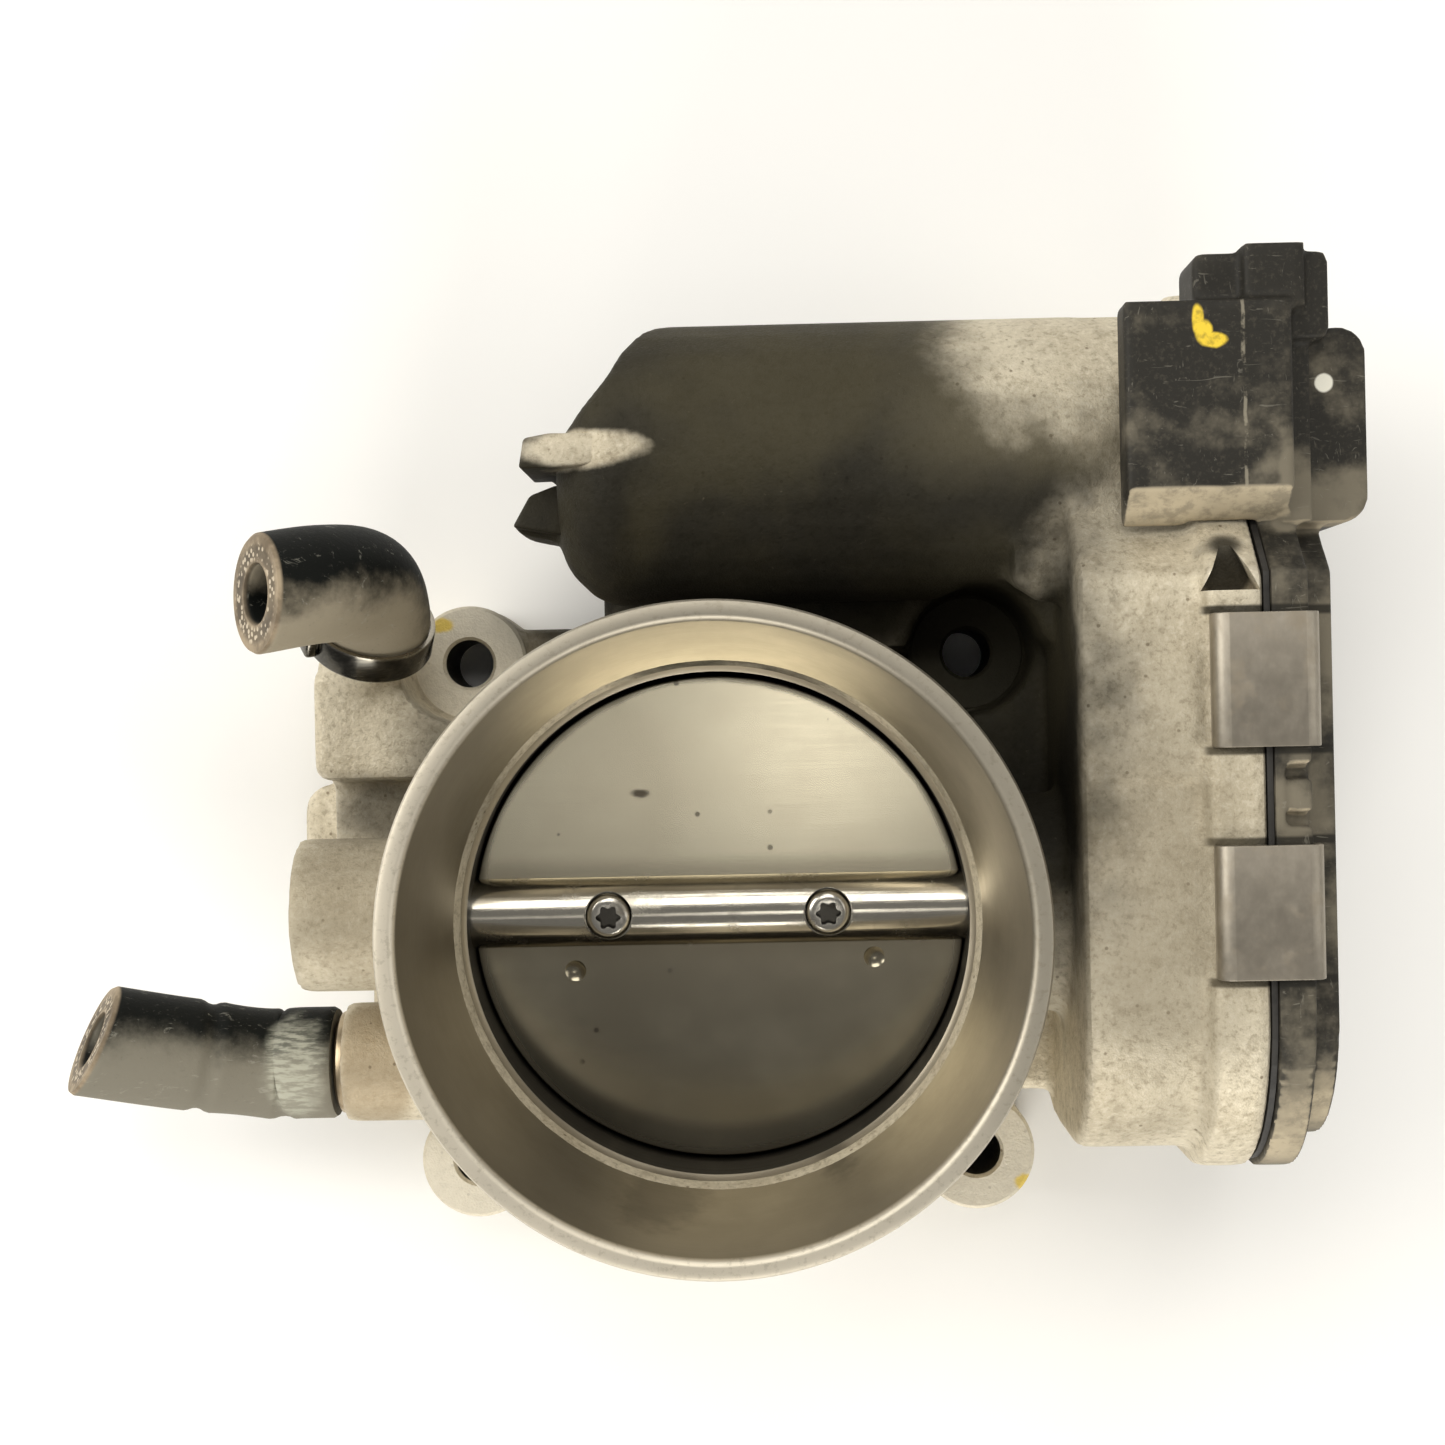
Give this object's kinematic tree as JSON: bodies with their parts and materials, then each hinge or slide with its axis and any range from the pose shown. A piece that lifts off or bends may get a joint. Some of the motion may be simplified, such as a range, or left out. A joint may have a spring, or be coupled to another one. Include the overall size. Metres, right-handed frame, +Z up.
{
  "type": "throttle body",
  "caption": "Electronic throttle body: cast aluminium bore with a butterfly plate on a shaft, gear drive and motor in a clipped case, coolant hose stubs and a four-ear flange.",
  "frame": {"origin": "bore axis in the manifold flange face", "axes": "+Z up the bore from the manifold to the inlet, +X along the throttle shaft to the gear case, +Y to the drive motor"},
  "size_m": [0.1786, 0.1308, 0.07],
  "materials": {
    "cast_aluminium": "die cast, grainy, dusty and soot stained",
    "cover_plastic": "moulded glass-filled plastic, dusty",
    "seal_rubber": "moulded rubber",
    "spring_steel": "dark satin spring steel",
    "contact_brass": "plain brass",
    "shaft_steel": "ground and polished",
    "plate_alloy": "satin rolled sheet with fine specks",
    "bearing_steel": "bright zinc or ground steel",
    "gear_plastic": "natural engineering plastic",
    "magnet_ferrite": "sintered ferrite",
    "circuit_board": "lacquered board",
    "winding_copper": "varnished copper and steel laminations",
    "brush_plastic": "moulded plastic",
    "hose_rubber": "worn black coolant hose with grey dust"
  },
  "bodies": {
    "housing": {"throttle_housing": "cast_aluminium", "gear_cover": "cover_plastic", "cover_gasket": "seal_rubber", "cover_clip_upper_1": "spring_steel", "cover_clip_upper_2": "spring_steel", "cover_clip_lower_1": "spring_steel", "cover_clip_lower_2": "spring_steel", "connector_pin_1": "contact_brass", "connector_pin_2": "contact_brass", "connector_pin_3": "contact_brass", "connector_pin_4": "contact_brass", "connector_pin_5": "contact_brass", "connector_pin_6": "contact_brass", "left_needle_bearing": "bearing_steel", "left_boss_plug": "bearing_steel", "left_shaft_seal": "seal_rubber", "right_shaft_seal": "seal_rubber", "right_bearing_outer_race": "bearing_steel", "right_bearing_cage": "contact_brass", "idler_pin": "bearing_steel", "return_spring": "spring_steel", "sensor_board": "circuit_board", "motor_can": "bearing_steel", "motor_magnet_1": "magnet_ferrite", "motor_magnet_2": "magnet_ferrite", "motor_end_plate": "brush_plastic", "motor_screw_1": "bearing_steel", "motor_screw_2": "bearing_steel", "motor_wave_washer": "spring_steel", "coolant_nipple_upper": "bearing_steel", "coolant_nipple_lower": "contact_brass", "coolant_hose_upper": "hose_rubber", "coolant_hose_lower": "hose_rubber", "hose_clamp": "spring_steel"},
    "throttle": {"throttle_shaft": "shaft_steel", "throttle_plate": "plate_alloy", "plate_screw_1": "shaft_steel", "plate_screw_2": "shaft_steel", "right_bearing_inner_race": "bearing_steel", "sector_gear": "gear_plastic", "sensor_magnet": "magnet_ferrite"},
    "idler": {"idler_gear": "gear_plastic"},
    "rotor": {"motor_armature": "winding_copper", "motor_pinion": "contact_brass"}
  },
  "joints": [
    {"name": "throttle_turn", "type": "hinge", "parent": "housing", "child": "throttle", "pos_m": [0, 0.0015, 0.0365], "axis": [1, 0, 0], "range_deg": [-5, 82], "stiffness_Nm_per_rad": 0.2},
    {"name": "idler_turn", "type": "hinge", "parent": "housing", "child": "idler", "pos_m": [0.07, 0.032, 0.0365], "axis": [1, 0, 0], "range_deg": [-373, 23]},
    {"name": "motor_turn", "type": "hinge", "parent": "housing", "child": "rotor", "pos_m": [0.02, 0.0625, 0.0365], "axis": [1, 0, 0], "range_deg": [-104, 1695]}
  ],
  "couplings": [
    {"joint": "idler_turn", "follows": "throttle_turn", "ratio": -4.5455},
    {"joint": "motor_turn", "follows": "throttle_turn", "ratio": 20.661}
  ]
}
